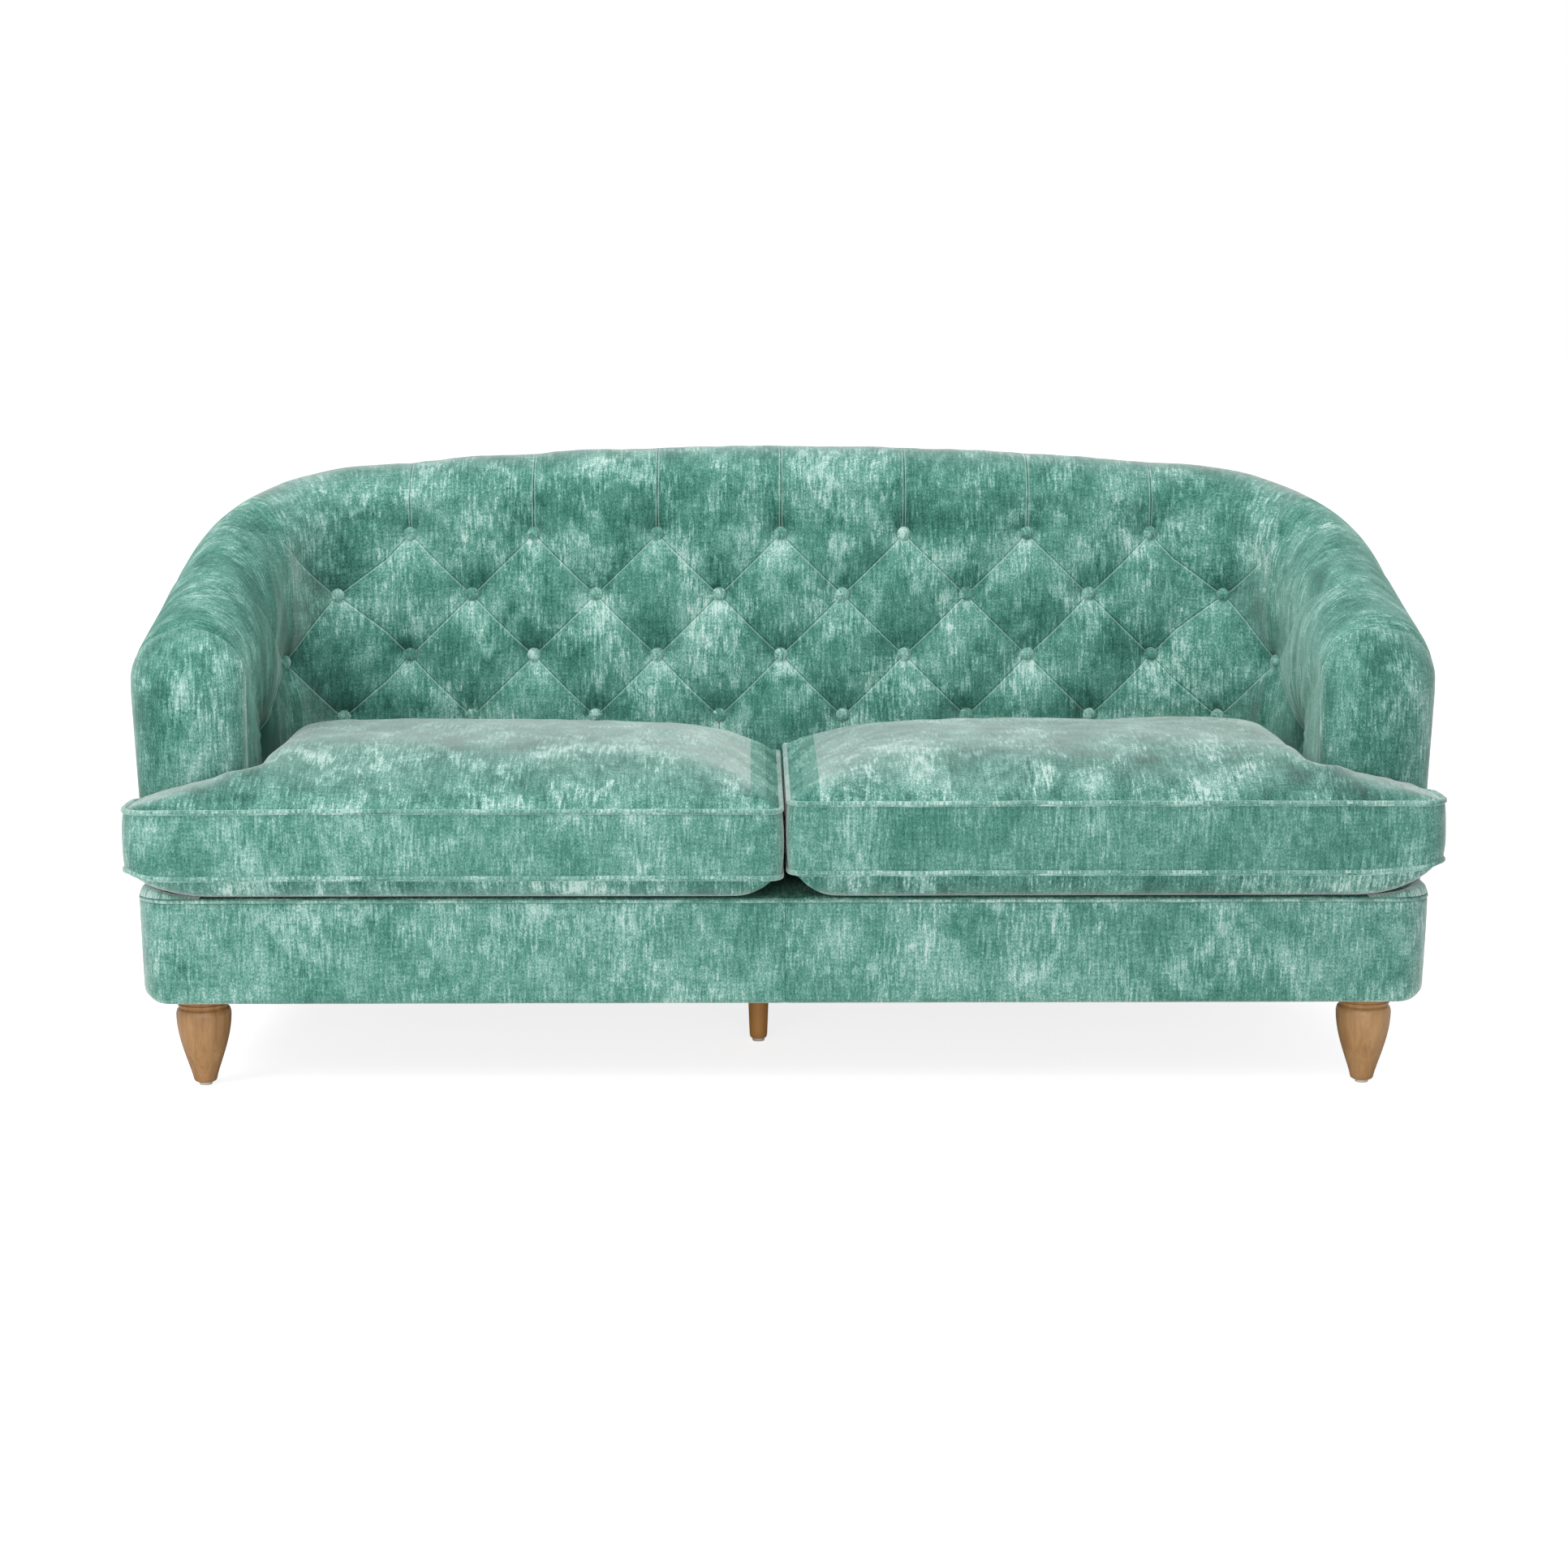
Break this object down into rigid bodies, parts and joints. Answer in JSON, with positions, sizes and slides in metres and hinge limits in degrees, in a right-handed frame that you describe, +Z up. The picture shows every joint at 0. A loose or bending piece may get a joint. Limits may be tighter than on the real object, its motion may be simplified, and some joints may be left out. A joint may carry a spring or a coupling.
{
  "type": "tufted sofa",
  "caption": "Sofa with a diamond-tufted curved back, low rounded arms, T-shaped piped seat cushions, a banded base and turned front legs.",
  "frame": {"origin": "on the floor, at the middle of the plan box", "axes": "+Z up, +Y towards the back, +X to the right as seen from the front"},
  "size_m": [1.912, 0.9145, 0.9007],
  "materials": {
    "velvet": "crushed chenille velvet, turquoise",
    "turned_wood": "honey-coloured clear lacquer",
    "frame_wood": "raw hardwood and plywood",
    "foam": "open-cell foam",
    "steel": "plain drawn and zinc-plated steel",
    "zip_metal": "plated",
    "zip_tape": "woven polyester tape",
    "glide_plastic": "moulded nylon",
    "webbing": "elastic webbing",
    "dust_cloth": "spun-bonded cloth",
    "hessian": "coarse jute weave",
    "twine": "waxed nylon twine"
  },
  "bodies": {
    "frame": {"front_rail": "frame_wood", "rear_seat_rail": "frame_wood", "back_rail": "frame_wood", "side_rails": "frame_wood", "rear_corner_rails": "frame_wood", "centre_rail": "frame_wood", "leg_blocks": "frame_wood", "arm_posts": "frame_wood", "arm_top_rails": "frame_wood", "arm_panels": "frame_wood", "corner_hoops": "frame_wood", "back_ribs": "frame_wood", "corner_ribs": "frame_wood", "back_top_rail": "frame_wood", "seat_springs": "steel", "spring_clips": "steel", "back_webbing": "webbing", "hessian": "hessian", "deck_pad": "foam", "deck_cover": "velvet", "deck_rolls": "velvet", "back_foam": "foam", "corner_foam_left": "foam", "corner_foam_right": "foam", "arm_foam_left": "foam", "arm_foam_right": "foam", "inside_back_cover": "velvet", "inside_corner_cover_left": "velvet", "inside_corner_cover_right": "velvet", "inside_arm_cover_left": "velvet", "inside_arm_cover_right": "velvet", "arm_front_left": "velvet", "arm_front_right": "velvet", "outside_arm_cover_left": "velvet", "outside_arm_cover_right": "velvet", "outside_back_cover": "velvet", "tufting_buttons": "velvet", "button_twine": "twine", "base_border_left": "velvet", "base_border_right": "velvet", "base_welt": "velvet", "dust_cover": "dust_cloth", "front_leg_left": "turned_wood", "front_leg_right": "turned_wood", "rear_leg_left": "turned_wood", "rear_leg_right": "turned_wood", "centre_leg": "turned_wood", "leg_bolts": "steel", "leg_nuts": "steel", "leg_glides": "glide_plastic"},
    "cushion_left": {"seat_cushion_cover_left": "velvet", "seat_cushion_core_left": "foam", "seat_cushion_piping_left": "velvet", "zip_tape_left": "zip_tape"},
    "cushion_right": {"seat_cushion_cover_right": "velvet", "seat_cushion_core_right": "foam", "seat_cushion_piping_right": "velvet", "zip_tape_right": "zip_tape"},
    "zip_left": {"zip_slider_left": "zip_metal"},
    "zip_right": {"zip_slider_right": "zip_metal"}
  },
  "joints": [
    {"name": "lift_cushion_left", "type": "slide", "parent": "frame", "child": "cushion_left", "axis": [0, 0, 1], "range_m": [0, 0.5]},
    {"name": "lift_cushion_right", "type": "slide", "parent": "frame", "child": "cushion_right", "axis": [0, 0, 1], "range_m": [0, 0.5]},
    {"name": "zip_pull_left", "type": "slide", "parent": "cushion_left", "child": "zip_left", "axis": [1, 0, 0], "range_m": [0, 0.4]},
    {"name": "zip_pull_right", "type": "slide", "parent": "cushion_right", "child": "zip_right", "axis": [-1, 0, 0], "range_m": [0, 0.4]}
  ]
}
